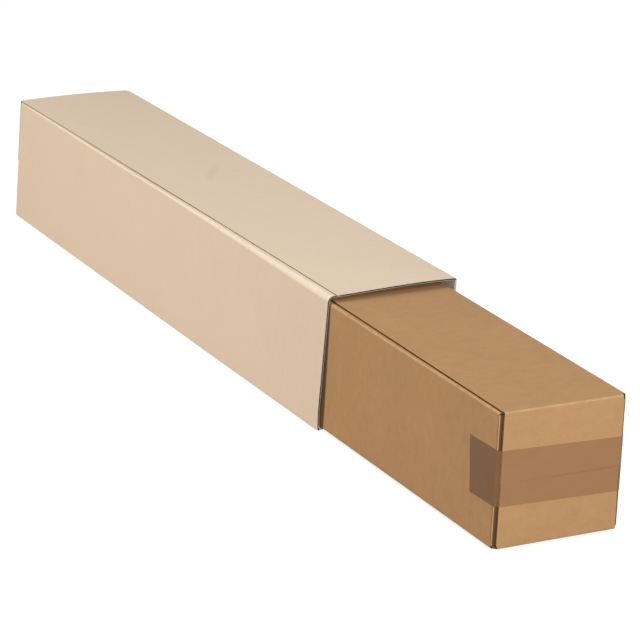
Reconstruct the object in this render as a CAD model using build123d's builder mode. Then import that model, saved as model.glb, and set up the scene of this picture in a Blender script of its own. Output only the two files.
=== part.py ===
# Square telescopic mailing tube: a sleeve of corrugated board with a second tube sliding in it, each
# folded from one blank, and the strip of packing tape that holds the inner tube's end flaps shut.
# X runs along the tube towards the taped end and Z is up. The origin is the middle of the sleeve's
# underside.
import os

from build123d import *

# Board and folds
board = 1.6  # thickness of the corrugated board
crease = 0.4  # inside radius of a pressed fold
joint_crease = 1.4  # inside radius of the softer fold beside the glued joint
tab_width = 30.0  # glue tab, which lies under the top panel
tab_trim = 6.0  # end of the tab, back from the open end
tab_corner = 9.0  # part of the tab beside its fold that isn't trimmed
joint_setback = 1.2  # top panel's cut edge, back from the side panel's face
glue_start = 2.2  # first glue under the top panel, back from the same face
glue_line = 0.1  # thickness of the glue between tab and top panel

# Outer sleeve
sleeve_width = 129.0
sleeve_height = 129.0
sleeve_length = 710.0
sleeve_lean = 5.0  # top panel's shift to the right of the bottom one: the sleeve stands out of square

# Inner tube, sized by what it slides in
side_clearance = 3.9  # to the sleeve, on each side
slide_clearance = 0.3  # under the tube, where it rests in the sleeve
head_clearance = 7.5  # over the tube, to the sleeve's top panel
tube_length = 710.0
pulled_out = 290.0  # length that shows in front of the sleeve's mouth

# End flaps, the same on both blanks
flap_setback = 1.6  # side edges of the outside flaps, back from the tube's sides
slot_length = 4.5  # ends of the inside flaps, back from the top and bottom panels
slot_reach = 1.0  # slots run this far past the inside flaps' folds
seam_gap = 0.8  # between two flaps that meet
seam_drop = 2.5  # outside flaps' seam, below the middle of the end

# Packing tape
tape_width = 48.0
tape_wrap = 47.0  # length stuck to each side panel
film = 0.2  # thickness, with its adhesive
tape_bend = 0.6  # radius of the film where it turns

# Derived sizes
tube_width = sleeve_width - 2 * (board + side_clearance)
tube_base = board + slide_clearance
tube_height = sleeve_height - board - head_clearance - tube_base
sleeve_back = -sleeve_length / 2
sleeve_mouth = sleeve_length / 2
tube_front = sleeve_mouth + pulled_out
tube_back = tube_front - tube_length
fold = crease + board / 2  # fold radius at the middle of the board
joint_fold = joint_crease + board / 2
inside_fold = 2 * board + crease  # from a closed end back to where its inside flaps start to fold
shoulder = inside_fold + slot_reach  # from a closed end back to where its slots stop


def leaning(points, height, lean):
    """Points of an upright section moved sideways, by lean in all from its bottom to its top."""
    return [(y + lean * (z / height - 0.5), z) for y, z in points]


def tube_section(width, height, lean):
    """Wall of a tube seen along it: the top panel, three folds, the joint's fold and its glued tab."""
    middle = board / 2
    left = -width / 2
    right = width / 2 - middle
    top = height - middle
    tab = top - board - glue_line
    upright = [
        (left + joint_setback, top),
        (right, top),
        (right, middle),
        (left + middle, middle),
        (left + middle, tab),
        (left + tab_width, tab),
    ]
    with BuildSketch() as wall:
        with BuildLine() as blank:
            FilletPolyline(*leaning(upright, height, lean), radius=[fold, fold, fold, joint_fold])
        trace(blank.line, line_width=board)
        with Locations(*leaning([(left + glue_start, tab)], height, lean)):
            Rectangle(tab_width - glue_start, top - tab, align=Align.MIN)
    return wall.sketch


def tab_section(width, height, lean):
    """The part of a glued tab that is trimmed at the open end, with its glue, seen along the tube."""
    left = -width / 2
    under = height - board
    with BuildSketch() as tab:
        with Locations(*leaning([(left + tab_corner, under)], height, lean)):
            Rectangle(tab_width, 2 * board, align=(Align.MIN, Align.MAX))
    return tab.sketch


def flap_section(run, reach):
    """One flap seen along its fold: the last of its panel, the fold, and the flap itself."""
    middle = board / 2
    with BuildSketch() as strip:
        with BuildLine() as blank:
            FilletPolyline((run, middle), (middle, middle), (middle, reach), radius=fold)
        trace(blank.line, line_width=board)
    return strip.sketch


def end_flaps(width, height, base, end, outward, lean):
    """Plane, section and width of each flap of a closed end whose outer face is at end."""
    seam = height / 2 - seam_drop
    upper = flap_section(shoulder, height - seam - seam_gap / 2)
    lower = flap_section(shoulder, seam - seam_gap / 2)
    inner = flap_section(shoulder - board, (width - seam_gap) / 2)
    outside_width = width - 2 * flap_setback - lean
    inside_width = height - 2 * slot_length - lean
    inside = end - outward * board
    middle = base + height / 2
    back = (-outward, 0, 0)
    side_fold = Vector(0, lean, height)
    return [
        (Plane((end, lean / 2, base + height), back, (0, -outward, 0)), upper, outside_width),
        (Plane((end, -lean / 2, base), back, (0, outward, 0)), lower, outside_width),
        (Plane((inside, -width / 2, middle), back, side_fold * -outward), inner, inside_width),
        (Plane((inside, width / 2, middle), back, side_fold * outward), inner, inside_width),
    ]


# Outer sleeve, open at the mouth and closed at the far end
with BuildPart() as outer_sleeve:
    mouth = Plane((sleeve_mouth, 0, 0), (0, 1, 0), (1, 0, 0))
    with BuildSketch(mouth):
        add(tube_section(sleeve_width, sleeve_height, sleeve_lean))
    extrude(amount=shoulder - sleeve_length)
    with BuildSketch(mouth):
        add(tab_section(sleeve_width, sleeve_height, sleeve_lean))
    extrude(amount=-tab_trim, mode=Mode.SUBTRACT)
    for plane, section, width in end_flaps(sleeve_width, sleeve_height, 0, sleeve_back, -1, sleeve_lean):
        with BuildSketch(plane):
            add(section)
        extrude(amount=width / 2, both=True)

# Inner tube, closed at the near end and open at its far end inside the sleeve
with BuildPart() as inner_tube:
    back_end = Plane((tube_back, 0, tube_base), (0, 1, 0), (1, 0, 0))
    with BuildSketch(back_end):
        add(tube_section(tube_width, tube_height, 0))
    extrude(amount=tube_length - shoulder)
    with BuildSketch(back_end):
        add(tab_section(tube_width, tube_height, 0))
    extrude(amount=tab_trim, mode=Mode.SUBTRACT)
    for plane, section, width in end_flaps(tube_width, tube_height, tube_base, tube_front, 1, 0):
        with BuildSketch(plane):
            add(section)
        extrude(amount=width / 2, both=True)

# Tape across the near end, bridging the slots at the corners on its way to the side panels
side = tube_width / 2 + film / 2
face = tube_front + film / 2
face_edge = tube_width / 2 - flap_setback + tape_bend
side_edge = tube_front - inside_fold + tape_bend
with BuildPart() as end_tape:
    with BuildSketch(Plane.XY.offset(tube_base + tube_height / 2)):
        with BuildLine() as strip:
            FilletPolyline(
                (tube_front - tape_wrap, -side),
                (side_edge, -side),
                (face, -face_edge),
                (face, face_edge),
                (side_edge, side),
                (tube_front - tape_wrap, side),
                radius=tape_bend,
            )
        trace(strip.line, line_width=film)
    extrude(amount=tape_width / 2, both=True)

outer_sleeve.part.label = "outer_sleeve"
inner_tube.part.label = "inner_tube"
end_tape.part.label = "end_tape"

os.makedirs("parts", exist_ok=True)
export_step(outer_sleeve.part, "parts/outer_sleeve.step")
export_step(inner_tube.part, "parts/inner_tube.step")
export_step(end_tape.part, "parts/end_tape.step")
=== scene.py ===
import math
from types import SimpleNamespace

import bmesh
import bpy
import numpy as np
from mathutils import Matrix, Vector


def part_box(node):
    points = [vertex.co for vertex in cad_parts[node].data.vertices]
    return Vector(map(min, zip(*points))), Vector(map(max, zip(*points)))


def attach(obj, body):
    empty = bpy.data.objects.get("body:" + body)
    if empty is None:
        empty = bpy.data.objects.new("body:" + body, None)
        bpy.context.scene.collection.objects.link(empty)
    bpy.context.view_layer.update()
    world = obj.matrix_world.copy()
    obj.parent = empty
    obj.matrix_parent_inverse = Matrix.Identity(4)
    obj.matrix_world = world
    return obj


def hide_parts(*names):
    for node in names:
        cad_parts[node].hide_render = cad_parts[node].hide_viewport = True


# Looks of a square telescopic mailing tube: two blanks of corrugated board, each folded and glued into a
# square tube, and the strip of packing tape across the near end. X runs along the tube to the taped end.
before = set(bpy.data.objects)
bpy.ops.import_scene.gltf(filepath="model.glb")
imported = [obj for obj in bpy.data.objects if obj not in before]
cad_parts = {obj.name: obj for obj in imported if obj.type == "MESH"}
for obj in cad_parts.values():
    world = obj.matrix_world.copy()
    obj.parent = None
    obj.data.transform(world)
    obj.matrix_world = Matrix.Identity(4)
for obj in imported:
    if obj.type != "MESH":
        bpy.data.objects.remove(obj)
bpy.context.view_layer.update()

MM = 0.001

# Board and folds
BOARD = 1.6 * MM  # thickness
LINER = 0.28 * MM  # liner on each face, which shows as two lips along a cut edge
FOLD = 1.2 * MM  # fold radius at the middle of the board
END_FOLD = 0.9 * MM  # the same for the flaps of a closed end, which are creased more sharply
CREASE = 0.16 * MM  # depth of the line pressed where an inside flap starts to fold
CREASE_LEAD = 0.5 * MM  # from that line back to the flap's first row
EDGE_RECESS = 0.3 * MM  # depth of the core behind the lips of a cut edge
SLOT_RECESS = 1.5 * MM  # the same at the slots

# Glued joint: past its fold a band of the side panel lies beside the top panel, then steps down to the tab
TAB_WIDTH = 30.0 * MM
TAB_TRIM = 6.0 * MM  # end of the glue tab, back from the open end
CRUSHED = 0.5  # share of the board's thickness that is left in the glue tab
GLUE_LINE = 0.1 * MM
LEAST_BAND = 0.8 * MM  # least width of the band
BAND_BEND = 0.45 * MM  # radius where it bends
STEP_RUN = 0.8  # run of the step for each unit that it drops
LEAST_STEP = 0.5 * MM  # least run of the step
LEAST_FLUSH = 0.04  # the band's height over the tab at its lowest, as a share of the top panel's

# Flaps of a closed end
SHOULDER = 4.4 * MM  # slots between flaps stop this far from the closed end
SLOT = 1.5 * MM  # ends of the inside flaps, back from the folds beside them
LOW_SLOT = 1.0 * MM  # the same at the bottom panel
JOINT_SLOT = 0.1 * MM  # the same beside the joint, where the slot is shorter
SEAM_DROP = 2.5 * MM  # seam of the outside flaps, below the middle of the end
SEAM_GAP = 0.8 * MM

# Side edges of the outside flaps, in from their panels' edges: notch beside the fold and inset beyond it.
# Each pair follows the blank: left and right for the upper flap, right and left for the lower one.
UPPER_NOTCH = (0.6 * MM, 2.2 * MM)
UPPER_INSET = (0.4 * MM, 1.4 * MM)
LOWER_NOTCH = (1.4 * MM, 2.2 * MM)
LOWER_INSET = (1.5 * MM, 1.1 * MM)
NOTCH_REACH = 2.5 * MM  # from the fold to where the inset is reached
NOTCH_EASE = 0.6  # last share of that reach, where notch turns into inset

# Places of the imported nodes
sleeve_low, sleeve_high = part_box("outer_sleeve")
tube_low, tube_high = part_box("inner_tube")
tape_low, tape_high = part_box("end_tape")

# Spacing of the grids
CLOSE = 0.4  # even shares nearer than this to an extra one, in steps, are left out
ROUNDING = 0.01 * MM


def between(start, stop, share):
    return start + (stop - start) * share


def smooth(share):
    """Eases from 0 to 1 as share does."""
    share = np.clip(share, 0.0, 1.0)
    return share * share * (3 - 2 * share)


def shares(count, *extra):
    """Even shares from 0 to 1, with extra ones put in order among them."""
    even = [i / count for i in range(count + 1)]
    near = CLOSE / count
    kept = [s for s in even if s in (0.0, 1.0) or all(abs(s - e) > near for e in extra)]
    return sorted(kept + list(extra))


def steady(value):
    """The same value wherever it is asked for."""
    return lambda along: value


def ramp(start, stop, share=1.0):
    """A value that runs evenly from start to stop over the first share of the way."""
    return lambda along: between(start, stop, min(along / share, 1.0))


def fading(stop, steepness):
    """The band's height between the tab and the top panel: 1 at first, and at its least by stop."""
    return lambda along: min(max(steepness * (stop - along), LEAST_FLUSH), 1.0)


# Paths and sheets


def filleted(corners, radii, runs, steps):
    """Points and left-hand normals along straight runs joined by arcs.
    runs lists the shares of each run that get a point, and steps divides each arc."""
    corners = [np.array(c, float) for c in corners]
    ways = [(b - a) / np.linalg.norm(b - a) for a, b in zip(corners, corners[1:])]
    turns = [math.atan2(a[0] * b[1] - a[1] * b[0], a @ b) for a, b in zip(ways, ways[1:])]
    cuts = [0.0] + [r * abs(math.tan(t / 2)) for r, t in zip(radii, turns)] + [0.0]
    points = []
    normals = []
    for i, way in enumerate(ways):
        start = corners[i] + way * cuts[i]
        stop = corners[i + 1] - way * cuts[i + 1]
        left = np.array((-way[1], way[0]))
        for share in runs[i]:
            points.append(between(start, stop, share))
            normals.append(left)
        if i == len(turns):
            break
        reach = math.copysign(radii[i], turns[i])
        centre = stop + left * reach
        for step in range(1, steps[i]):
            angle = turns[i] * step / steps[i]
            turned = np.array((
                left[0] * math.cos(angle) - left[1] * math.sin(angle),
                left[0] * math.sin(angle) + left[1] * math.cos(angle),
            ))
            points.append(centre - turned * reach)
            normals.append(turned)
    return np.array(points), np.array(normals)


def run_columns(runs, steps):
    """First and last column of each straight run of a filleted path."""
    spans = []
    column = 0
    for i, run in enumerate(runs):
        spans.append((column, column + len(run) - 1))
        column += len(run)
        if i < len(steps):
            column += steps[i] - 1
    return spans


def lengths_along(points):
    """Length along a path at each of its points."""
    steps = np.linalg.norm(np.diff(points, axis=0), axis=1)
    return np.concatenate([[0.0], np.cumsum(steps)])


def rim_edges(cells):
    """Edges of a masked grid that have a cell on one side only, each with the cell's row and column step."""
    padded = np.pad(cells, 1)
    found = []
    rows, columns = cells.shape
    for r in range(rows + 1):
        for c in range(columns):
            before, after = padded[r, c + 1], padded[r + 1, c + 1]
            if before != after:
                found.append(((r, c), (r, c + 1), (1 if after else -1, 0)))
    for r in range(rows):
        for c in range(columns + 1):
            before, after = padded[r + 1, c], padded[r + 1, c + 1]
            if before != after:
                found.append(((r, c), (r + 1, c), (0, 1 if after else -1)))
    return found


def rim_directions(middle, edges):
    """For each rim vertex, the way out of the sheet, long enough to shift both its edges by one."""
    outs = {}
    for a, b, (dr, dc) in edges:
        along = middle[b] - middle[a]
        along = along / np.linalg.norm(along)
        inner_a = (a[0] + dr, a[1] + dc)
        inner_b = (b[0] + dr, b[1] + dc)
        out = (middle[a] + middle[b] - middle[inner_a] - middle[inner_b]) / 2
        out = out - along * (out @ along)
        out = out / np.linalg.norm(out)
        outs.setdefault(a, []).append(out)
        outs.setdefault(b, []).append(out)
    return {k: sum(v) / (1 + v[0] @ v[-1]) if len(v) > 1 else v[0] for k, v in outs.items()}


SHARP_ANGLE = 35.0  # degrees between faces above which their edge isn't smoothed


def mesh_piece(name, points, faces, marks, blank):
    """Object with these points and faces, their marks, and their places on the flat blank."""
    mesh = bpy.data.meshes.new(name)
    mesh.from_pydata(points.tolist(), [], faces)
    for label, values in marks.items():
        mesh.attributes.new(label, "FLOAT", "POINT").data.foreach_set("value", values.astype(np.float32))
    flat = blank.astype(np.float32).ravel()
    mesh.attributes.new("blank", "FLOAT_VECTOR", "POINT").data.foreach_set("vector", flat)
    shell = bmesh.new()
    shell.from_mesh(mesh)
    bmesh.ops.recalc_face_normals(shell, faces=shell.faces)
    shell.to_mesh(mesh)
    shell.free()
    mesh.polygons.foreach_set("use_smooth", [True] * len(mesh.polygons))
    mesh.set_sharp_from_angle(angle=math.radians(SHARP_ANGLE))
    piece = bpy.data.objects.new(name, mesh)
    bpy.context.scene.collection.objects.link(piece)
    return piece


def sheet_piece(name, grid, rings, deform):
    """Closed mesh of a sheet: an outside and an inside layer of the grid, and a rim between them.
    rings lists the rim's steps between the layers, each as a share of the half thickness, a share of the
    recess, and its mark as a cut edge. deform moves the finished points."""
    middle, normal, cells = grid.middle, grid.normal, grid.cells
    used = np.zeros(middle.shape[:2], bool)
    for dr in (0, 1):
        for dc in (0, 1):
            used[dr : dr + cells.shape[0], dc : dc + cells.shape[1]] |= cells
    spots = [tuple(p) for p in np.argwhere(used)]
    points, source, levels_up, cuts = [], [], [], []

    def add(spot, level, out, cut):
        points.append(middle[spot] + normal[spot] * level * grid.half[spot] + out)
        source.append(spot)
        levels_up.append(level)
        cuts.append(cut)
        return len(points) - 1

    still = np.zeros(3)
    outer = {p: add(p, 1.0, still, 0.0) for p in spots}
    inner = {p: add(p, -1.0, still, 0.0) for p in spots}
    faces = []
    for r, c in np.argwhere(cells):
        loop = [(r, c), (r + 1, c), (r + 1, c + 1), (r, c + 1)]
        faces.append([outer[p] for p in loop])
        faces.append([inner[p] for p in reversed(loop)])
    edges = rim_edges(cells)
    outs = rim_directions(middle, edges)
    levels = [outer]
    for level, share, cut in rings:
        levels.append({p: add(p, level, -outs[p] * share * grid.recess[p], cut) for p in outs})
    levels.append(inner)
    for a, b, _ in edges:
        for upper, lower in zip(levels, levels[1:]):
            faces.append([upper[a], upper[b], lower[b], lower[a]])

    levels_up = np.array(levels_up)
    rows, columns = np.array(source).T
    marks = {label: values[rows, columns] for label, values in grid.marks.items()}
    marks["cut"] = np.array(cuts)
    marks["inside"] = (1 - levels_up) / 2
    heights = levels_up * grid.half[rows, columns]
    blank = np.column_stack([grid.u[rows, columns], grid.v[rows, columns], heights])
    return mesh_piece(name, deform(np.array(points)), faces, marks, blank)


# A folded blank

TOP, RIGHT, BOTTOM, LEFT, BAND, SLOPE, TAB = range(7)
TURN_STEPS = [6, 6, 6, 8, 5, 4]  # of the arcs between those runs
FLAP_TURN_STEPS = 6
FLAP_ROWS = 12
BODY_ROWS = 40
NEAR_ROWS = [0.0, 1.0, 2.5, 4.0, 6.0, 8.0, 12.0, 18.0, 26.0, 36.0, 48.0]  # millimetres from the open end
SLOT_ROWS = 6  # the first of these rows, which are repeated beside the slots


def blank_runs(tube):
    """Shares along the runs of a blank, with a point at each end of the inside flaps."""
    side = tube.height - BOARD - 2 * FOLD
    slot, low_slot, joint_slot = SLOT / side, LOW_SLOT / side, JOINT_SLOT / side
    return [
        shares(26),
        shares(24, slot, 1 - low_slot),
        shares(18),
        shares(28, low_slot, 1 - joint_slot),
        shares(3),
        shares(2),
        shares(5),
    ]


def section(tube, along, runs):
    """Middle line of the wall, seen along the tube. along runs from 0 at the open end to 1 at the closed.
    The top panel's cut edge stands seam_inset in from the side, and the step ends crack short of it."""
    half = BOARD / 2
    left = -tube.width / 2
    right = tube.width / 2 - half
    top = tube.height - half
    tab = top - half - GLUE_LINE - CRUSHED * half
    seam = left + tube.seam_inset(along)
    band = between(tab, top, tube.flush(along))
    step = max(STEP_RUN * (band - tab), LEAST_STEP)
    fold = tube.joint_fold(along)
    crest = max(seam - tube.crack - step, left + half + fold + LEAST_BAND)
    corners = [
        (seam, top),
        (right, top),
        (right, half),
        (left + half, half),
        (left + half, band),
        (crest, band),
        (crest + step, tab),
        (left + TAB_WIDTH, tab),
    ]
    radii = [FOLD, FOLD, tube.low_fold(along), fold, BAND_BEND, BAND_BEND]
    points, normals = filleted(corners, radii, runs, TURN_STEPS)
    points[:, 1] += tube.base
    return points, normals


def row_places(length):
    """Places of a blank's rows from its open end to its slots, closer together near both."""
    near = [place * MM for place in NEAR_ROWS]
    far = [length - place for place in reversed(near[:SLOT_ROWS])]
    step = (far[0] - near[-1]) / BODY_ROWS
    return near + [near[-1] + step * i for i in range(1, BODY_ROWS)] + far


def flap_steps(flap):
    """Steps of a flap from its panel to its free edge, each as its turn, straight run and pressed depth."""
    reach = flap.reach - BOARD / 2 - flap.fold
    steps = [(0.0, -CREASE_LEAD, 0.0), (0.0, 0.0, flap.crease)]
    for step in range(1, FLAP_TURN_STEPS + 1):
        steps.append((step / FLAP_TURN_STEPS, 0.0, 0.0))
    for share in shares(FLAP_ROWS, NOTCH_REACH / reach)[1:]:
        steps.append((1.0, reach * share, 0.0))
    return steps


def half_thickness(tube, rows, spans, shape):
    """Half the board's thickness over the grid, less in the band beside the joint and in the tab."""
    half = np.full(shape, BOARD / 2)
    flush = np.array([tube.flush(place / tube.length) for place in rows])
    band = between(CRUSHED, 1.0, np.pad(flush, (0, shape[0] - len(rows)), mode="edge"))
    panel_end, band_start = spans[LEFT][1], spans[BAND][0]
    band_end, slope_start = spans[BAND][1], spans[SLOPE][0]
    for c in range(panel_end, shape[1]):
        to_band = min((c - panel_end) / (band_start - panel_end), 1.0)
        to_tab = min(max((c - band_end) / (slope_start - band_end), 0.0), 1.0)
        half[:, c] *= between(between(1.0, band, to_band), CRUSHED, to_tab)
    return half


def fold_flap(grid, tube, run, span, body_rows, points, normals):
    """Adds the flap of one run to a blank's grid, folded over from the last row of its panel."""
    flap = tube.flaps[run]
    behind = run in (RIGHT, LEFT)
    trim = 1 if behind else 0
    first, last = span[0] + trim, span[1] - trim
    grid.cells[body_rows - 1 :, first:last] = True
    if not behind:
        grid.recess[body_rows:, [first, last]] = SLOT_RECESS
    along = (points[last] - points[first]) / np.linalg.norm(points[last] - points[first])
    start = tube.length - flap.face - BOARD / 2 - flap.fold
    for c in range(first, last + 1):
        share = (c - first) / (last - first)
        whole_turn = math.radians(90.0 - flap.bulge(share))
        for r, (turned, run_on, pressed) in enumerate(flap_steps(flap), body_rows):
            angle = whole_turn * turned
            out = start + flap.fold * math.sin(angle) + run_on * math.cos(angle)
            inward = flap.fold * (1 - math.cos(angle)) + run_on * math.sin(angle) + pressed
            past = smooth((run_on - (1 - NOTCH_EASE) * NOTCH_REACH) / (NOTCH_EASE * NOTCH_REACH))
            inset = between(flap.notch, flap.inset, past)
            slide = between(inset[0], -inset[1], share)
            grid.middle[r, c, 0] = tube.open_x + tube.way * out
            grid.middle[r, c, 1:] = points[c] - normals[c] * inward + along * slide
            grid.normal[r, c, 0] = tube.way * math.sin(angle)
            grid.normal[r, c, 1:] = normals[c] * math.cos(angle)
            grid.v[r, c] = start + flap.fold * angle + run_on
            grid.marks["fold"][r, c] = 1.0 if 0.0 < turned < 1.0 else 0.0
            # Inside flaps, once half folded, are marked for painted shade
            grid.marks["painted_shade_behind_flaps"][r, c] = 1.0 if behind and turned > 0.5 else 0.0


def blank_grid(tube):
    """Grid of a blank folded into a tube, with four flaps folded over its closed end.
    Its marks are folds, with scuffing and a painted highlight, the joint's cut edge and the open end's upper
    and left edges, with painted shade, and the inside flaps behind the outside ones, painted as shade."""
    runs = blank_runs(tube)
    spans = run_columns(runs, TURN_STEPS)
    rows = row_places(tube.length - SHOULDER)
    body_rows = len(rows)
    sections = [section(tube, place / tube.length, runs) for place in rows]
    points, normals = sections[-1]
    shape = (body_rows + len(flap_steps(tube.flaps[TOP])), len(points))
    grid = SimpleNamespace(
        middle=np.zeros(shape + (3,)),
        normal=np.zeros(shape + (3,)),
        u=np.tile(lengths_along(points), (shape[0], 1)),
        v=np.zeros(shape),
        cells=np.zeros((shape[0] - 1, shape[1] - 1), bool),
        half=half_thickness(tube, rows, spans, shape),
        recess=np.full(shape, EDGE_RECESS),
        marks={label: np.zeros(shape) for label in ("fold", "seam", "mouth", "painted_shade_behind_flaps")},
    )
    for r, (row_points, row_normals) in enumerate(sections):
        grid.middle[r, :, 0] = tube.open_x + tube.way * rows[r]
        grid.middle[r, :, 1:] = row_points
        grid.normal[r, :, 1:] = row_normals
        grid.v[r, :] = rows[r]
    grid.cells[: body_rows - 1, :] = True
    trimmed = sum(1 for place in rows if place < TAB_TRIM - ROUNDING)
    grid.cells[:trimmed, spans[TAB][0] :] = False
    grid.recess[body_rows - 1, :] = SLOT_RECESS
    grid.recess[:, 0] = tube.seam_recess
    grid.marks["fold"][:, :] = 1.0
    for first, last in spans:
        grid.marks["fold"][:, first : last + 1] = 0.0
    grid.marks["seam"][:, 0] = 1.0
    # Upper and left edges of the open end take the core's tones; on the sleeve these are painted shade of
    # the gap
    grid.marks["mouth"][0, :] = 1.0
    grid.marks["mouth"][0, spans[RIGHT][0] : spans[BOTTOM][1] + 1] = 0.0
    for run in tube.flaps:
        fold_flap(grid, tube, run, spans[run], body_rows, points, normals)
    return grid


def end_flaps(width, height, upper_bulge, lower_bulge, sunk, apart):
    """The four flaps of a closed end, by the run that each grows from.
    sunk is how far the end's folds lie back from its face, and apart the gap between the two layers."""
    seam = height / 2 - SEAM_DROP
    upper = SimpleNamespace(
        face=sunk,
        bulge=upper_bulge,
        reach=height - seam - SEAM_GAP / 2,
        fold=END_FOLD,
        crease=0.0,
        notch=np.array(UPPER_NOTCH),
        inset=np.array(UPPER_INSET),
    )
    lower = SimpleNamespace(
        face=sunk,
        bulge=lower_bulge,
        reach=seam - SEAM_GAP / 2,
        fold=END_FOLD,
        crease=0.0,
        notch=np.array(LOWER_NOTCH),
        inset=np.array(LOWER_INSET),
    )
    inside = SimpleNamespace(
        face=sunk + BOARD + apart,
        bulge=steady(0.0),
        reach=(width - SEAM_GAP) / 2,
        fold=END_FOLD,
        crease=CREASE,
        notch=np.zeros(2),
        inset=np.zeros(2),
    )
    return {TOP: upper, BOTTOM: lower, RIGHT: inside, LEFT: inside}


# Steps of a cut edge, from the outside lip to the inside one
LIP = 1 - 2 * LINER / BOARD
LIP_MARK = 0.7
BOARD_RIM = [(LIP, 0.0, LIP_MARK), (LIP, 1.0, 1.0), (-LIP, 1.0, 1.0), (-LIP, 0.0, LIP_MARK)]


def blend(start, stop, along, across, up):
    """Values named by corner at two places along a tube, blended between the corners and the places."""

    def corner(name):
        first, last = np.array(start[name]) * MM, np.array(stop[name]) * MM
        return first + (last - first) * along[:, None]

    low = corner("bl") + (corner("br") - corner("bl")) * across[:, None]
    high = corner("tl") + (corner("tr") - corner("tl")) * across[:, None]
    return low + (high - low) * up[:, None]


# Outer sleeve, which leans and tapers a little. Corners are places across and up, in millimetres.

PANEL = sleeve_high.z - sleeve_low.z  # width of each of the sleeve's four panels
SLEEVE_FAR = {"tl": (-61.5, 126.2), "tr": (64.3, 127.5), "bl": (-66.9, 0.0), "br": (62.3, 0.0)}
SLEEVE_MOUTH = {"tl": (-61.4, 125.7), "tr": (66.9, 128.3), "bl": (-66.0, 0.0), "br": (62.3, 0.0)}
FAR_CROWN = 1.3 * MM  # far end of the top panel, bowed up between its corners
CROWN_REACH = 160.0 * MM
MOUTH_BOW = 1.2 * MM  # top panel at the mouth, bowed up most at two thirds of the way across
BOW_REACH = 200.0 * MM
MOUTH_SLANT = 4.0 * MM  # lower left corner of the mouth, back from the others
UNDER_SLANT = 5.0 * MM  # bottom panel's edge beside that corner, further back
UNDER_ACROSS = 0.06  # shares of the panels over which that edge comes to lie further back
UNDER_UP = 0.03
SLANT_REACH = 250.0 * MM
PINCH = 1.0 * MM  # lower end of the mouth's left edge, bent in
PINCH_REACH = 4.0 * MM
PINCH_HEIGHT = 20.0 * MM
PINCH_ACROSS = 0.125
SEAM_AT_MOUTH = 9.1 * MM  # top panel's cut edge, in from the side panel's face
SEAM_AT_FAR_END = 0.4 * MM
SEAM_CURVE = 1.3  # it runs in a slight curve from one to the other
FAR_LAYER_GAP = 0.1 * MM  # between the layers of the far end's flaps


def racked(points):
    """Moves points of the straight sleeve to the leaning section that it has at each place along it."""
    from_mouth = sleeve_high.x - points[:, 0]
    from_far = points[:, 0] - sleeve_low.x
    across = points[:, 1] / PANEL + 0.5
    up = (points[:, 2] - sleeve_low.z) / PANEL
    moved = points.copy()
    along = from_far / (sleeve_high.x - sleeve_low.x)
    moved[:, 1:] = blend(SLEEVE_FAR, SLEEVE_MOUTH, along, across, up)
    crown = 1 - smooth(from_far / CROWN_REACH)
    moved[:, 2] += FAR_CROWN * crown * up * (1 - (2 * across - 1) ** 2)
    bow = smooth(1 - from_mouth / BOW_REACH) * np.clip(up, 0.0, 1.0)
    inside = np.clip(across, 0.0, 1.0)
    # The curve is 4/27 at its highest, two thirds of the way across
    moved[:, 2] += MOUTH_BOW * bow * (27 / 4) * inside**2 * (1 - inside)
    lower_left = np.clip((1 - up) * (1 - across), 0.0, 1.0)
    under = smooth(across / UNDER_ACROSS) * (1 - smooth(up / UNDER_UP))
    slant = smooth(1 - from_mouth / SLANT_REACH)
    moved[:, 0] -= (MOUTH_SLANT + UNDER_SLANT * under) * lower_left * slant
    pinched = np.clip(1 - from_mouth / PINCH_REACH, 0.0, 1.0)
    pinched *= 1 - smooth((points[:, 2] - sleeve_low.z) / PINCH_HEIGHT)
    moved[:, 1] += PINCH * pinched * np.clip(1 - across / PINCH_ACROSS, 0.0, 1.0)
    return moved


def sleeve_seam(along):
    return between(SEAM_AT_MOUTH, SEAM_AT_FAR_END, along**SEAM_CURVE)


def make_sleeve():
    sleeve = SimpleNamespace(
        width=PANEL,
        height=PANEL,
        length=sleeve_high.x - sleeve_low.x,
        base=sleeve_low.z,
        open_x=sleeve_high.x,
        way=-1,
        seam_inset=sleeve_seam,
        seam_recess=0.6 * MM,
        crack=0.2 * MM,
        flush=fading(0.66, 1 / 0.3),
        joint_fold=ramp(4.6 * MM, FOLD, 1 / 2),
        low_fold=ramp(3.2 * MM, FOLD, 1 / 3),
        flaps=end_flaps(PANEL, PANEL, steady(0.0), steady(0.0), 0.0, FAR_LAYER_GAP),
    )
    return sheet_piece("sleeve_blank", blank_grid(sleeve), BOARD_RIM, racked)


# Inner tube, a little askew and out of square. Corners are shifts across and up, in millimetres.

TUBE_AT_MOUTH = {"tl": (0.2, 0.0), "tr": (1.3, 1.1), "bl": (-1.0, -0.2), "br": (0.2, 0.0)}
TUBE_AT_END = {"tl": (0.9, -1.1), "tr": (1.0, -1.1), "bl": (-0.1, -0.2), "br": (1.0, 0.2)}
END_BULGE = 0.28  # degrees that the outside flaps of the near end lean out
LOWER_BULGE_RIGHT = -0.6  # the lower flap leans in on the right, where it lies behind the upper one
END_SUNK = 0.3 * MM  # folds of the near end, back from where its seam stands
NEAR_LAYER_GAP = 0.9 * MM  # between the layers of the near end's flaps


def askew(points):
    """Moves points of the straight tube, and of its tape, by the shifts from the mouth to the near end."""
    along = np.clip((points[:, 0] - sleeve_high.x) / (tube_high.x - sleeve_high.x), 0.0, None)
    across = (points[:, 1] - tube_low.y) / (tube_high.y - tube_low.y)
    up = (points[:, 2] - tube_low.z) / (tube_high.z - tube_low.z)
    moved = points.copy()
    moved[:, 1:] += blend(TUBE_AT_MOUTH, TUBE_AT_END, along, across, up)
    return moved


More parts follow.
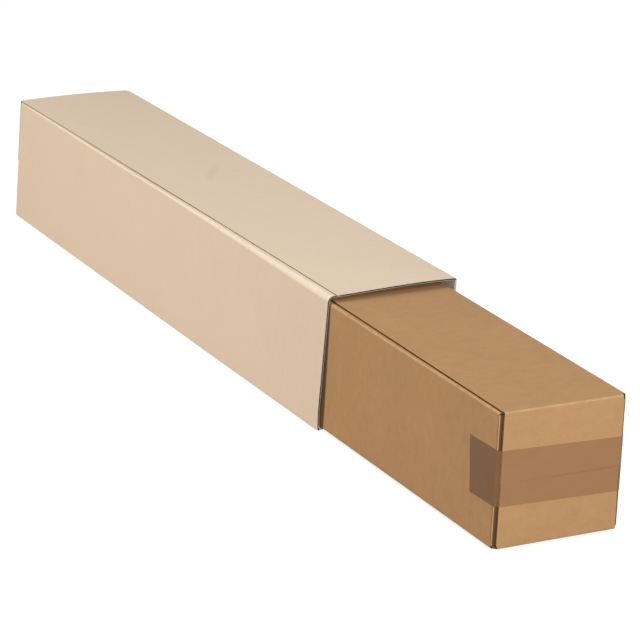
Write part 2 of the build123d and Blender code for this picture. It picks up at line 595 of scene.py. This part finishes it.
def make_tube():
    size = tube_high - tube_low
    lower_bulge = ramp(LOWER_BULGE_RIGHT, END_BULGE)
    tube = SimpleNamespace(
        width=size.y,
        height=size.z,
        length=size.x,
        base=tube_low.z,
        open_x=tube_low.x,
        way=1,
        seam_inset=ramp(7.7 * MM, 2.3 * MM),
        seam_recess=1.6 * MM,
        crack=0.6 * MM,
        flush=fading(0.72, 2.2),
        joint_fold=ramp(2.4 * MM, 0.9 * MM),
        low_fold=steady(FOLD),
        flaps=end_flaps(size.y, size.z, steady(END_BULGE), lower_bulge, END_SUNK, NEAR_LAYER_GAP),
    )
    return sheet_piece("tube_blank", blank_grid(tube), BOARD_RIM, askew)


# Tape across the near end

FILM = 0.16 * MM
TAPE_LIFT = 0.03 * MM  # adhesive under the film
TAPE_BEND = 0.7 * MM  # radius where the film turns
FACE_EDGE = 57.0 * MM  # where the end's panels start to fold, from the middle
UPPER_RIGHT_EDGE = FACE_EDGE - 1.4 * MM  # side edges of the two flaps under the tape
LOWER_RIGHT_EDGE = FACE_EDGE - 1.8 * MM
UPPER_LEFT_EDGE = FACE_EDGE - 0.8 * MM
LOWER_LEFT_EDGE = FACE_EDGE - 1.1 * MM
TAPE_RISE = [-1.5 * MM, -1.0 * MM, 2.2 * MM, 1.1 * MM]  # at its right end, both corners and its left end
TAPE_START = 1.4 * MM  # upper corner of the tape's left end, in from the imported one's
TAPE_CUT = 5.0 * MM  # slant of that end, from top to bottom
TAPE_DIP = (0.5 * MM, 0.7 * MM)  # film pressed into the gap beside the flaps: depth left, and width
DIP_BENDS = [0.4 * MM, 0.3 * MM]  # radii at that gap's rim and in it
LEFT_TURN = 0.5 * MM  # where the film turns onto the left side, back from the inside flap's face
RIGHT_TURN = 0.5  # the same on the right, as a share of the fold there
WRINKLE = 0.1 * MM  # unevenness of the film beside the gap, in two waves
LONG_WAVE = 2.1 * MM
SHORT_WAVE = 1.3 * MM
SHORT_SHARE = 0.7  # the short wave's height against the long one's
TAPE_ROWS = 120
TAPE_RUNS = [shares(14), shares(5), shares(48), shares(4), shares(4), shares(14)]
TAPE_STEPS = [5, 5, 4, 4, 5]
FACE_RUN = 2
FACE_FIRST, FACE_LAST = run_columns(TAPE_RUNS, TAPE_STEPS)[FACE_RUN]


def over_seam(z):
    """0 on the lower flap and 1 on the upper one."""
    seam = (tube_low.z + tube_high.z) / 2 - SEAM_DROP
    return smooth((z - seam + SEAM_GAP / 2) / SEAM_GAP)


def end_face(y, z):
    """Where the outside of the near end's flaps lies along X."""
    right = (y - tube_low.y) / (tube_high.y - tube_low.y)
    fold = BOARD / 2 + END_FOLD
    upper = math.sin(math.radians(END_BULGE)) * np.maximum(tube_high.z - z - fold, 0.0)
    lean = np.radians(between(END_BULGE, LOWER_BULGE_RIGHT, right))
    lower = np.sin(lean) * np.maximum(z - tube_low.z - fold, 0.0)
    return tube_high.x - END_SUNK + between(lower, upper, over_seam(z))


def wrinkle(z):
    """How far the film's turn beside the gap stands off a straight line."""
    return WRINKLE * (math.sin(z / LONG_WAVE) + SHORT_SHARE * math.sin(z / SHORT_WAVE + 1.0))


def tape_row(z):
    """One row of the film: its points, normals and lengths along it, at z before the tape's own rise."""
    lift = TAPE_LIFT + FILM / 2
    side = tube_high.y + lift
    fold_face = tube_high.x - END_SUNK - BOARD - NEAR_LAYER_GAP
    z_right, z_left = z + TAPE_RISE[1], z + TAPE_RISE[2]
    right = between(LOWER_RIGHT_EDGE, UPPER_RIGHT_EDGE, over_seam(z_right))
    left = between(LOWER_LEFT_EDGE, UPPER_LEFT_EDGE, over_seam(z_left)) + wrinkle(z)
    cut = TAPE_CUT * (tape_high.z - z) / (tape_high.z - tape_low.z)
    corners = [
        (tape_low.x, side),
        (fold_face - RIGHT_TURN * (BOARD / 2 + END_FOLD), side),
        (end_face(right, z_right) + lift, right),
        (end_face(-left, z_left) + lift, -left),
        (fold_face + TAPE_DIP[0], -left - TAPE_DIP[1]),
        (fold_face - LEFT_TURN, -side),
        (tape_low.x + TAPE_START + cut, -side),
    ]
    radii = [TAPE_BEND, TAPE_BEND, *DIP_BENDS, TAPE_BEND]
    points, normals = filleted(corners, radii, TAPE_RUNS, TAPE_STEPS)
    u = lengths_along(points)
    level = z + np.interp(u, [0.0, u[FACE_FIRST], u[FACE_LAST], u[-1]], TAPE_RISE)
    face = slice(FACE_FIRST, FACE_LAST + 1)
    points[face, 0] = end_face(points[face, 1], level[face]) + lift
    middle = np.column_stack([points, level])
    return middle, np.column_stack([normals, 0 * level]), u


def make_tape():
    levels = [between(tape_low.z, tape_high.z, s) for s in shares(TAPE_ROWS)]
    middle, normal, u = map(np.array, zip(*[tape_row(z) for z in levels]))
    stuck = np.ones(u.shape)
    stuck[:, FACE_FIRST : FACE_LAST + 1] = 0.0
    grid = SimpleNamespace(
        middle=middle,
        normal=normal,
        u=u,
        v=np.tile(np.array(levels)[:, None] - tape_low.z, (1, u.shape[1])),
        cells=np.ones((u.shape[0] - 1, u.shape[1] - 1), bool),
        half=np.full(u.shape, FILM / 2),
        recess=np.zeros(u.shape),
        marks={"stuck": stuck},
    )
    return sheet_piece("tape_strip", grid, [], askew)


# Materials


def colour(red, green, blue):
    return (red, green, blue, 1.0)


def grey(value):
    return colour(value, value, value)


class Paint:
    """Short calls that build one material's nodes."""

    def __init__(self, name):
        self.material = bpy.data.materials.new(name)
        self.material.use_nodes = True
        self.tree = self.material.node_tree
        self.shader = self.tree.nodes["Principled BSDF"]

    def node(self, kind, inputs, **settings):
        made = self.tree.nodes.new(kind)
        for name, value in settings.items():
            setattr(made, name, value)
        for key, value in inputs.items():
            self.put(made.inputs[key], value)
        return made

    def put(self, socket, value):
        if isinstance(value, bpy.types.NodeSocket):
            self.tree.links.new(value, socket)
        else:
            socket.default_value = value

    def set(self, name, value):
        self.put(self.shader.inputs[name], value)

    def mark(self, name):
        return self.node("ShaderNodeAttribute", {}, attribute_name=name).outputs["Fac"]

    def place(self):
        """Where a point lies on its flat sheet: its u and v, and its height from the sheet's middle."""
        return self.node("ShaderNodeAttribute", {}, attribute_name="blank").outputs["Vector"]

    def vector(self, operation, a, b):
        return self.node("ShaderNodeVectorMath", {0: a, 1: b}, operation=operation)

    def stretched(self, vector, scale):
        return self.vector("MULTIPLY", vector, scale).outputs[0]

    def noise(self, vector, scale, detail=3.0, roughness=0.55):
        inputs = {"Vector": vector, "Scale": scale, "Detail": detail, "Roughness": roughness}
        return self.node("ShaderNodeTexNoise", inputs).outputs["Fac"]

    def math(self, operation, *values):
        return self.node("ShaderNodeMath", dict(enumerate(values)), operation=operation).outputs[0]

    def span(self, value, start, stop, low=0.0, high=1.0):
        """low where value is at start, high where it is at stop, and even between."""
        inputs = {0: value, 1: start, 2: stop, 3: low, 4: high}
        return self.node("ShaderNodeMapRange", inputs, clamp=True).outputs[0]

    def mix(self, factor, a, b, kind="MIX"):
        made = self.node("ShaderNodeMix", {0: factor}, data_type="RGBA", blend_type=kind)
        self.put(made.inputs[6], a)
        self.put(made.inputs[7], b)
        return made.outputs[2]

    def vary(self, tone, pattern, amount):
        """The tone, made lighter and darker by a pattern of values around a half."""
        swing = self.mix(pattern, grey(1 - amount), grey(1 + amount))
        return self.mix(1.0, tone, swing, "MULTIPLY")

    def total(self, *parts):
        """Sum of patterns, each given with its share."""
        found = 0.0
        for pattern, share in parts:
            found = self.math("ADD", found, self.math("MULTIPLY", pattern, share))
        return found

    def spot(self, vector, centre, way, size):
        """1 at the centre of an oval on the blank, fading to 0 at its rim. way points along its length."""
        moved = self.vector("SUBTRACT", vector, centre).outputs[0]
        along = (way[0] / size[0], way[1] / size[0], 0.0)
        across = (-way[1] / size[1], way[0] / size[1], 0.0)
        reach = 0.0
        for axis in (along, across):
            part = self.vector("DOT_PRODUCT", moved, axis).outputs["Value"]
            reach = self.math("ADD", reach, self.math("MULTIPLY", part, part))
        return self.span(reach, 0.0, 1.0, 1.0, 0.0)

    def bump(self, height, distance):
        inputs = {"Height": height, "Distance": distance, "Strength": 1.0}
        self.set("Normal", self.node("ShaderNodeBump", inputs).outputs["Normal"])


FLUTE_PITCH = 3.3 * MM

# Patterns in the board, as features to the metre round the tube and along it
CLOUD_SCALE = 16.0
MOTTLE_SCALE = (75.0, 130.0, 0.0)
FIBRE_SCALE = (320.0, 1200.0, 0.0)
PORE_SCALE = 1500.0
SPECK_SCALE = (420.0, 700.0, 0.0)
DASH_SCALE = (0.0, 130.0, 0.0)  # breaks in the dark line along the joint
BOARD_RELIEF = 0.06 * MM

# Tones of a board: mouth is its fluted core at the open end, and the hollows beside the flutes get painted
# shade
PALE = SimpleNamespace(
    face=colour(0.73, 0.565, 0.41),
    inside=colour(0.80, 0.78, 0.76),
    # Lighter tone of folds and flecks: scuffing, and a painted highlight along the folds
    scuffed_and_highlit=colour(0.80, 0.66, 0.52),
    cut=colour(0.52, 0.40, 0.29),
    # Near black: painted shade of the gap seen past the sleeve's open end
    mouth=colour(0.045, 0.030, 0.018),
    flute_hollow_shade=colour(0.025, 0.017, 0.010),
    # Painted shade in the open channel along the joint's cut edge
    seam=colour(0.42, 0.31, 0.21),
)
KRAFT = SimpleNamespace(
    face=colour(0.440, 0.242, 0.106),
    inside=colour(0.46, 0.27, 0.13),
    # Lighter tone of folds and flecks: scuffing, and a painted highlight along the folds
    scuffed_and_highlit=colour(0.62, 0.39, 0.21),
    # Near black: the cut edges' tone, painted shade in the gaps and slots at the flaps, and the dark flecks
    cut=colour(0.10, 0.05, 0.018),
    mouth=colour(0.42, 0.25, 0.12),
    flute_hollow_shade=colour(0.22, 0.12, 0.05),
    # Near black: painted shade in the open channel along the joint's cut edge
    seam=colour(0.07, 0.035, 0.012),
)

# How strongly each pattern shows in a board's tone; least and most scuffing and painted highlight on its
# folds
PALE_GRAIN = SimpleNamespace(cloud=0.02, mottle=0.03, fibre=0.04, fleck=0.05, fold_scuff_and_highlight=(0.3, 0.8))
KRAFT_GRAIN = SimpleNamespace(cloud=0.08, mottle=0.12, fibre=0.16, fleck=0.2, fold_scuff_and_highlight=(0.1, 0.35))

# Smudge on the sleeve's top panel: its centre on the blank, the way it points, and its half length and width
SMUDGE = ((0.071, 0.386, 0.0), (-0.546, -0.838), (0.036, 0.006))
SMUDGE_TONE = grey(0.2)
SMUDGE_DEPTH = 0.10

# Tape's tones across the end and on the sides, and its patterns along the film and across it
TAPE_FACE = colour(0.312, 0.157, 0.071)
TAPE_STUCK = colour(0.189, 0.088, 0.034)
STREAK_SCALE = (30.0, 900.0, 0.0)
HAZE_SCALE = 60.0
TAPE_RELIEF = 0.02 * MM


def board_paint(name, tones, grain, smudge=None):
    """Corrugated board: a liner with cloudy tone and fibres that run round the tube, and its cut edges."""
    paint = Paint(name)
    place = paint.place()
    clouds = paint.noise(place, CLOUD_SCALE, 3.0)
    mottles = paint.noise(paint.stretched(place, MOTTLE_SCALE), 1.0, 4.0, 0.6)
    fibres = paint.noise(paint.stretched(place, FIBRE_SCALE), 1.0, 3.0, 0.65)
    pores = paint.noise(place, PORE_SCALE, 2.0, 0.7)
    specks = paint.noise(paint.stretched(place, SPECK_SCALE), 1.0, 2.0, 0.5)
    axes = paint.node("ShaderNodeSeparateXYZ", {0: place}).outputs
    waves = paint.math("SINE", paint.math("MULTIPLY", axes[0], 2 * math.pi / FLUTE_PITCH))

    tone = paint.mix(paint.mark("inside"), tones.face, tones.inside)
    tone = paint.vary(tone, clouds, grain.cloud)
    tone = paint.vary(tone, mottles, grain.mottle)
    tone = paint.vary(tone, fibres, grain.fibre)
    tone = paint.mix(paint.span(specks, 0.68, 0.76, 0.0, grain.fleck), tone, tones.cut)
    tone = paint.mix(paint.span(specks, 0.32, 0.24, 0.0, grain.fleck), tone, tones.scuffed_and_highlit)
    # Folds turn lighter: scuffing, and a painted highlight along each fold
    scuffed_and_highlit = paint.math("MULTIPLY", paint.mark("fold"), paint.span(mottles, 0.35, 0.65, *grain.fold_scuff_and_highlight))
    tone = paint.mix(scuffed_and_highlit, tone, tones.scuffed_and_highlit)
    # Inside flaps behind the outside ones take the dark cut tone: painted shade
    tone = paint.mix(paint.mark("painted_shade_behind_flaps"), tone, tones.cut)
    if smudge is not None:
        depth = paint.math("MULTIPLY", paint.spot(place, *smudge), SMUDGE_DEPTH)
        tone = paint.mix(depth, tone, SMUDGE_TONE)

    height = paint.math("MULTIPLY", axes[2], 1 / (BOARD / 2 - LINER))
    gap = paint.math("ABSOLUTE", paint.math("SUBTRACT", height, waves))
    # Hollows beside the painted flutes are darker: painted shade
    core = paint.mix(paint.span(gap, 0.3, 0.7), tones.mouth, tones.flute_hollow_shade)
    edge = paint.mix(paint.mark("mouth"), tones.cut, core)
    # Dark dashes along the joint's cut edge: painted shade in the open channel between the liners
    dashes = paint.noise(paint.stretched(place, DASH_SCALE), 1.0, 2.0)
    seam = paint.mix(paint.span(dashes, 0.30, 0.36), tones.face, tones.seam)
    edge = paint.mix(paint.mark("seam"), edge, seam)
    paint.set("Base Color", paint.mix(paint.mark("cut"), tone, edge))

    paint.set("Roughness", paint.span(fibres, 0.2, 0.8, 0.82, 0.95))
    paint.set("Specular IOR Level", paint.span(paint.mark("cut"), 0.0, 1.0, 0.25, 0.0))
    relief = paint.total((fibres, 0.5), (pores, 0.35), (mottles, 0.4), (waves, 0.08))
    paint.bump(relief, BOARD_RELIEF)
    return paint.material


def tape_paint(name):
    """Brown film, darker where it is stuck to the sides than across the end, with faint stretch marks."""
    paint = Paint(name)
    place = paint.place()
    streaks = paint.noise(paint.stretched(place, STREAK_SCALE), 1.0, 4.0, 0.6)
    haze = paint.noise(place, HAZE_SCALE, 3.0)
    tone = paint.mix(paint.mark("stuck"), TAPE_FACE, TAPE_STUCK)
    tone = paint.vary(tone, streaks, 0.05)
    tone = paint.vary(tone, haze, 0.08)
    paint.set("Base Color", tone)
    paint.set("Roughness", paint.span(haze, 0.3, 0.7, 0.42, 0.55))
    paint.set("Specular IOR Level", 0.14)
    paint.bump(streaks, TAPE_RELIEF)
    return paint.material


# Floor and light, in metres and watts

FLOOR_SIDE = 8.0
FLOOR_DROP = 0.2 * MM  # floor, below the object's underside
FLOOR_GLOW = 0.8  # share of white that the camera sees whatever the light
FLOOR_TONE = 0.35
WORLD_LIGHT = 0.07  # light from all round, where the background isn't seen itself
LAMPS = [
    # name, place, aim, size, power, colour
    ("overhead", (0.0, 0.1, 2.2), (0.0, 0.0, 0.1), (2.0, 1.6), 23.5, (0.887, 0.942, 1.0)),
    ("left", (-0.35, -2.2, 0.8), (0.0, 0.0, 0.06), (0.5, 1.0), 37.0, (1.0, 0.972, 0.945)),
    ("high_front", (2.4, -0.1, 1.9), (0.4, 0.0, 0.06), (0.6, 0.6), 20.0, (0.887, 0.942, 1.0)),
    ("front", (3.2, -0.4, 1.0), (0.6, 0.0, 0.06), (0.9, 0.9), 64.0, (0.974, 0.987, 1.0)),
    ("fill", (-1.6, 2.4, 1.0), (0.0, 0.0, 0.06), (1.0, 1.0), 12.0, (1.0, 1.0, 1.0)),
]


def make_floor():
    half = FLOOR_SIDE / 2
    corners = [(-half, -half), (half, -half), (half, half), (-half, half)]
    mesh = bpy.data.meshes.new("floor")
    mesh.from_pydata([(x, y, -FLOOR_DROP) for x, y in corners], [], [(0, 1, 2, 3)])
    floor = bpy.data.objects.new("floor", mesh)
    bpy.context.scene.collection.objects.link(floor)
    paint = Paint("floor")
    path = paint.node("ShaderNodeLightPath", {}).outputs
    seen = paint.math("MAXIMUM", path["Is Camera Ray"], path["Is Glossy Ray"])
    seen = paint.math("MAXIMUM", seen, path["Is Transmission Ray"])
    paint.set("Base Color", grey(FLOOR_TONE))
    paint.set("Roughness", 1.0)
    paint.set("Specular IOR Level", 0.0)
    paint.set("Emission Color", grey(1.0))
    paint.set("Emission Strength", paint.math("MULTIPLY", seen, FLOOR_GLOW))
    mesh.materials.append(paint.material)


def make_world():
    """White where the camera sees it, straight or through a clear surface, and a dim light elsewhere."""
    world = bpy.data.worlds.new("studio")
    world.use_nodes = True
    tree = world.node_tree
    background = tree.nodes["Background"]
    path = tree.nodes.new("ShaderNodeLightPath")
    seen = tree.nodes.new("ShaderNodeMath")
    seen.operation = "MAXIMUM"
    tree.links.new(path.outputs["Is Camera Ray"], seen.inputs[0])
    tree.links.new(path.outputs["Is Transmission Ray"], seen.inputs[1])
    level = tree.nodes.new("ShaderNodeMapRange")
    tree.links.new(seen.outputs[0], level.inputs[0])
    level.inputs[3].default_value = WORLD_LIGHT
    level.inputs[4].default_value = 1.0
    tree.links.new(level.outputs[0], background.inputs["Strength"])
    background.inputs["Color"].default_value = grey(1.0)
    bpy.context.scene.world = world


def make_lamp(name, place, target, size, power, tint):
    lamp = bpy.data.lights.new(name, "AREA")
    lamp.shape = "RECTANGLE"
    lamp.size, lamp.size_y = size
    lamp.energy = power
    lamp.color = tint
    thing = bpy.data.objects.new(name, lamp)
    bpy.context.scene.collection.objects.link(thing)
    thing.location = place
    thing.rotation_euler = (Vector(target) - Vector(place)).to_track_quat("-Z", "Y").to_euler()


# Camera at the photograph's viewing angle, with its place in metres and its angles in degrees

IMAGE_SIDE = 640
FOCAL_PIXELS = 2977.1
SENSOR = 36.0  # millimetres
CAMERA_PLACE = Vector((2.5109, -1.2209, 0.9284))
CAMERA_AZIMUTH = 61.876
CAMERA_ELEVATION = 18.608
CAMERA_ROLL = 2.350
VIEW_REACH = 50.0


def make_camera():
    azimuth, elevation, roll = map(math.radians, (CAMERA_AZIMUTH, CAMERA_ELEVATION, CAMERA_ROLL))
    level = math.cos(elevation)
    back = Vector((math.sin(azimuth) * level, -math.cos(azimuth) * level, math.sin(elevation)))
    right = Vector((0.0, 0.0, 1.0)).cross(back).normalized()
    up = back.cross(right)
    turned_right = right * math.cos(roll) + up * math.sin(roll)
    turned_up = up * math.cos(roll) - right * math.sin(roll)
    lens = bpy.data.cameras.new("camera")
    lens.sensor_width = SENSOR
    lens.lens = FOCAL_PIXELS / IMAGE_SIDE * SENSOR
    lens.clip_end = VIEW_REACH
    camera = bpy.data.objects.new("camera", lens)
    bpy.context.scene.collection.objects.link(camera)
    turn = Matrix((turned_right, turned_up, back)).transposed()
    camera.matrix_world = Matrix.Translation(CAMERA_PLACE) @ turn.to_4x4()
    bpy.context.scene.camera = camera


# The object

sleeve_piece = make_sleeve()
tube_piece = make_tube()
tape_piece = make_tape()
sleeve_piece.data.materials.append(board_paint("pale_board", PALE, PALE_GRAIN, SMUDGE))
tube_piece.data.materials.append(board_paint("kraft_board", KRAFT, KRAFT_GRAIN))
tape_piece.data.materials.append(tape_paint("brown_tape"))

for piece, body, node, slot in (
    (sleeve_piece, "sleeve", "outer_sleeve", "pale_board"),
    (tube_piece, "tube", "inner_tube", "kraft_board"),
    (tape_piece, "tube", "end_tape", "brown_tape"),
):
    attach(piece, body)
    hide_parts(node)

# The studio

make_floor()
make_world()
for lamp in LAMPS:
    make_lamp(*lamp)
make_camera()
bpy.context.scene.view_settings.view_transform = "Standard"
